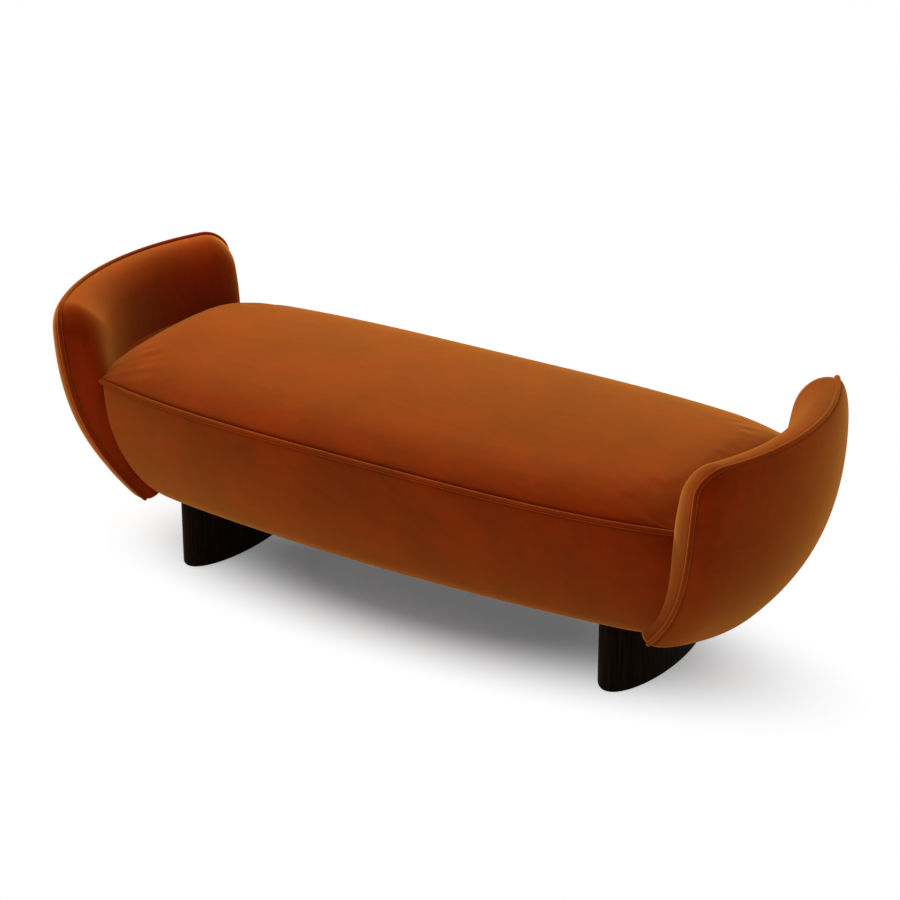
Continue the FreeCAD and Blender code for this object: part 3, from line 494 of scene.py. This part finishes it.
def arm_outline(count):
    """The edge of the arm closed along its foot, which dips by 8 mm in the middle."""
    y = np.linspace(ARM_FOOT_HALF, -ARM_FOOT_HALF, 120)[1:-1]
    foot = np.stack([y, ARM_FOOT - ARM_FOOT_DIP * (1 - (y / ARM_FOOT_HALF) ** 2)], -1)
    return even_steps(np.concatenate([arm_edge(), foot]), count, True)


def pad_rings(side, thickness, roll, softness, over, fuller):
    """Rings from the middle of the pad's back, out to its edge, and in again over its face.

    The thickness is one minus a power of the distance from the middle as a share of the edge's,
    all of it raised to the softness. Roll gives that power at the sides, the top and the foot: a
    high one makes the roll steep. The top stands over the welt by a sine of the thickness. Fuller
    adds to the thickness, by a bell curve about one level. Within a few millimetres of the seam
    the pad is drawn in, which leaves a groove beside the welt.
    """
    edge = arm_outline(340)[None]
    sides, top, foot = roll
    high = np.clip((edge[..., 1] - ARM_TOP + ARM_CORNER) / ARM_CORNER, 0, 1) ** 2
    low = np.clip((ARM_FOOT + FOOT_RUN - edge[..., 1]) / FOOT_RUN, 0, 1)
    power = sides + (top - sides) * high + (foot - sides) * low
    # The rings lie closer together towards the edge, where the pad turns.
    back = np.linspace(0.02, 1, 16)[:, None] ** 0.5
    face = 1 - np.linspace(0, 1, 97)[:-1, None] ** 2.2
    share = np.concatenate([back + 0 * power, face + 0 * power])
    rest = np.sign(thickness) * SHELL_HALF * np.sqrt(1 - back ** SHELL_EDGE_POWER) + 0 * power
    swell = (1 - face ** power) ** softness
    more, level, spread = fuller
    height = ARM_MIDDLE + face * (edge[..., 1] - ARM_MIDDLE)
    thick = thickness + more * np.exp(-((height - level) / spread) ** 2)
    offset = np.concatenate([rest, thick * swell])
    groove = np.exp(-(offset / WELT_GROOVE_DEPTH) ** 2) * share ** WELT_GROOVE_POWER
    drawn = share * (1 - WELT_GROOVE_SHARE * groove)
    proud = over * high * np.sin(np.pi * swell) * face ** 4
    y = drawn * edge[..., 0]
    z = ARM_MIDDLE + drawn * (edge[..., 1] - ARM_MIDDLE) + np.concatenate([0 * rest, proud])
    return np.stack([side * on_arm(y, z, offset), y, z], -1)


for name, side in LEFT_AND_RIGHT:
    rings = pad_rings(side, -INNER_PAD, roll=(9.0, 11, 10), softness=1.15, over=INNER_OVER_WELT,
                      fuller=(-INNER_FULLER, INNER_FULLEST_HEIGHT, INNER_FULLER_SPREAD))
    pad = skin("arm_inner_pad_" + name, rings, velvet)
    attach(pad, "root")
    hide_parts("arm_inner_cover_" + name, "arm_inner_foam_" + name)

# Arm outer pads: thinner foam on the outer face of each shell under velvet. The panel swells
# between its seams, bends round with the shell and tucks under to the foot.

OUTER_PAD = 0.0197
OUTER_FULLER, OUTER_FULLEST_HEIGHT, OUTER_FULLER_SPREAD = 0.009, 0.20, 0.14
for name, side in LEFT_AND_RIGHT:
    rings = pad_rings(side, OUTER_PAD, roll=(24, 8, 40), softness=0.5, over=0,
                      fuller=(OUTER_FULLER, OUTER_FULLEST_HEIGHT, OUTER_FULLER_SPREAD))
    pad = skin("arm_outer_pad_" + name, rings, velvet)
    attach(pad, "root")
    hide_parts("arm_outer_cover_" + name, "arm_outer_foam_" + name)

# Arm welts: a round cord in a sleeve of the same velvet, sewn between the inner and outer panels
# from the front foot over the top to the rear foot.

CORD_RADIUS, CORD_TIP_POWER = 0.0047, 300


def cord_rings(side):
    """A circle carried along the edge of the arm, with its ends drawn to a tip.

    Each circle stands square to the edge: one axis is outwards from the arm's middle face.
    """
    edge = even_steps(arm_edge(), 420, False)
    y, z = edge.T
    path = np.stack([side * on_arm(y, z, 0.0), y, z], -1)
    outer = np.stack([side * on_arm(y, z, CORD_RADIUS), y, z], -1)
    heading = np.gradient(path, axis=0)
    heading /= np.linalg.norm(heading, axis=1, keepdims=True)
    out = outer - path
    out -= heading * (out * heading).sum(1, keepdims=True)
    out /= np.linalg.norm(out, axis=1, keepdims=True)
    beside = np.cross(heading, out)
    turn = np.linspace(0, 2 * np.pi, 20, endpoint=False)[None, :, None]
    run = np.linspace(-1, 1, len(path))
    size = (CORD_RADIUS * np.sqrt(1 - np.abs(run) ** CORD_TIP_POWER))[:, None, None]
    return path[:, None] + size * (np.cos(turn) * out[:, None] + np.sin(turn) * beside[:, None])


for name, side in LEFT_AND_RIGHT:
    cord = skin("arm_edge_welt_" + name, cord_rings(side), velvet)
    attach(cord, "root")
    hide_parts("arm_welt_" + name)

# Studio: a wide white floor, a white surround that lights most from above and the left, and one
# broad soft light that hangs up there.


def seen_plainly(tree):
    """A socket that is 1 for rays from the camera, a reflection or glass, and 0 for the others."""
    ray = add(tree, "LightPath").outputs
    direct = add(tree, "Math", {"operation": "ADD"},
                 {0: ray["Is Camera Ray"], 1: ray["Is Glossy Ray"]})
    return add(tree, "Math", {"operation": "ADD"},
               {0: direct.outputs[0], 1: ray["Is Transmission Ray"]}).outputs[0]


# Matt white paint: even and very pale, with a faint roller mottle. What is seen of the floor fades
# to the white surround within an oval about the bench through a painted white glow. The glow is a
# twentieth of what is seen under the bench and all of it at the oval's edge: painted light that
# lightens the shadow near the bench and fades it out further away, so that no edge shows.
# Light that bounces off it meets one even, slightly darker white.
MOTTLE_WIDTH = 0.3
FADE_HALF_LENGTH, FADE_HALF_DEPTH = 0.95, 0.32
FLOOR_HALF = 30
paint, tree, shader = new_finish("matt_white_floor", {"Roughness": 1.0, "Specular IOR Level": 0.0})
place = add(tree, "TexCoord")
mottle = add(tree, "TexNoise", {"Scale": 1 / MOTTLE_WIDTH, "Detail": 1.0},
             {"Vector": place.outputs["Object"]})
tone = add(tree, "ValToRGB", links={"Fac": mottle.outputs["Fac"]})
tone.color_ramp.elements[0].color = linear("#FBFBFB")
tone.color_ramp.elements[1].color = linear("#FDFDFD")
plain = seen_plainly(tree)
shown = add(tree, "Mix", {"data_type": "RGBA", 6: linear("#F4F4F4")},
            {0: plain, 7: tone.outputs["Color"]})
tree.links.new(shown.outputs[2], shader.inputs["Base Color"])
oval = add(tree, "Mapping", {"Scale": (1 / FADE_HALF_LENGTH, 1 / FADE_HALF_DEPTH, 1)},
           {"Vector": place.outputs["Object"]})
far = add(tree, "VectorMath", {"operation": "LENGTH"}, {0: oval.outputs[0]})
# Painted light: the share of white glow, 5% under the bench and rising to all of it at the oval's
# edge.
fade = add(tree, "MapRange",
           {"interpolation_type": "SMOOTHSTEP", "From Min": 0.30, "From Max": 1.0, "To Min": 0.05},
           {"Value": far.outputs["Value"]})
white = add(tree, "Math", {"operation": "MULTIPLY"}, {0: fade.outputs[0], 1: plain})
glow = add(tree, "Emission", {"Color": linear("#FFFFFF"), "Strength": 1.0})
shade_and_painted_glow = add(tree, "MixShader",
            links={0: white.outputs[0], 1: shader.outputs[0], 2: glow.outputs[0]})
tree.links.new(shade_and_painted_glow.outputs[0], tree.nodes["Material Output"].inputs["Surface"])
mesh = bpy.data.meshes.new("floor")
corners = [(FLOOR_HALF * x, FLOOR_HALF * y, 0) for x, y in ((-1, -1), (1, -1), (1, 1), (-1, 1))]
mesh.from_pydata(corners, [], [(0, 1, 2, 3)])
mesh.materials.append(paint)
floor = bpy.data.objects.new("floor", mesh)
bpy.context.scene.collection.objects.link(floor)

BRIGHTEST_WAY = (-0.50, 0.10, 0.86)
world = bpy.data.worlds.new("white_surround")
bpy.context.scene.world = world
world.use_nodes = True
tree = world.node_tree
place = add(tree, "TexCoord")
toward = add(tree, "VectorMath", {"operation": "DOT_PRODUCT", 1: BRIGHTEST_WAY},
             {0: place.outputs["Generated"]})
level = add(tree, "MapRange",
            {"From Min": -0.45, "From Max": 1.0, "To Min": 0.06, "To Max": 0.88},
            {"Value": toward.outputs["Value"]})
# The surround is seen as plain white, and lights the bench by its level.
strength = add(tree, "Mix", {"data_type": "FLOAT", 3: 1.0},
               {0: seen_plainly(tree), 2: level.outputs[0]})
surround = tree.nodes["Background"]
surround.inputs["Color"].default_value = linear("#FFFFFF")
tree.links.new(strength.outputs[0], surround.inputs["Strength"])


def stand_at(thing, right, up, back, place):
    """Puts a lamp or camera at a place, turned to the three given axes, and into the scene."""
    rows = zip(np.stack([right, up, back], 1), place)
    thing.matrix_world = Matrix([(*row, at) for row, at in rows] + [(0, 0, 0, 1)])
    bpy.context.scene.collection.objects.link(thing)


LAMP_PLACE, LAMP_AIM = np.array([-1.7, 0.5, 2.0]), np.array([0.0, 0.0, 0.35])
lamp = bpy.data.lights.new("overhead_softbox", "AREA")
lamp.energy = 38
lamp.size = 1.5
back = (LAMP_PLACE - LAMP_AIM) / np.linalg.norm(LAMP_PLACE - LAMP_AIM)
right = np.cross((0, 1, 0), back)
right /= np.linalg.norm(right)
softbox = bpy.data.objects.new("overhead_softbox", lamp)
stand_at(softbox, right, np.cross(back, right), back, LAMP_PLACE)

# Camera: a long lens from the front right, above the seat's level. Its place is the point that it
# looks at, off the floor's middle to the right and up in its own view, and the distance back.
TURN, RISE = np.radians(32.1156), np.radians(24.5857)
TO_THE_RIGHT, UPWARDS, DISTANCE = 0.02405, 0.27735, 5.4418
right = np.array([np.cos(TURN), np.sin(TURN), 0])
up = np.array([-np.sin(TURN) * np.sin(RISE), np.cos(TURN) * np.sin(RISE), np.cos(RISE)])
back = np.array([np.sin(TURN) * np.cos(RISE), -np.cos(TURN) * np.cos(RISE), np.sin(RISE)])
lens = bpy.data.cameras.new("front_right")
lens.lens = 111.54
lens.sensor_width = 36
lens.clip_end = 200
camera = bpy.data.objects.new("front_right", lens)
stand_at(camera, right, up, back, right * TO_THE_RIGHT + up * UPWARDS + back * DISTANCE)
bpy.context.scene.camera = camera
bpy.context.scene.view_settings.view_transform = "Standard"
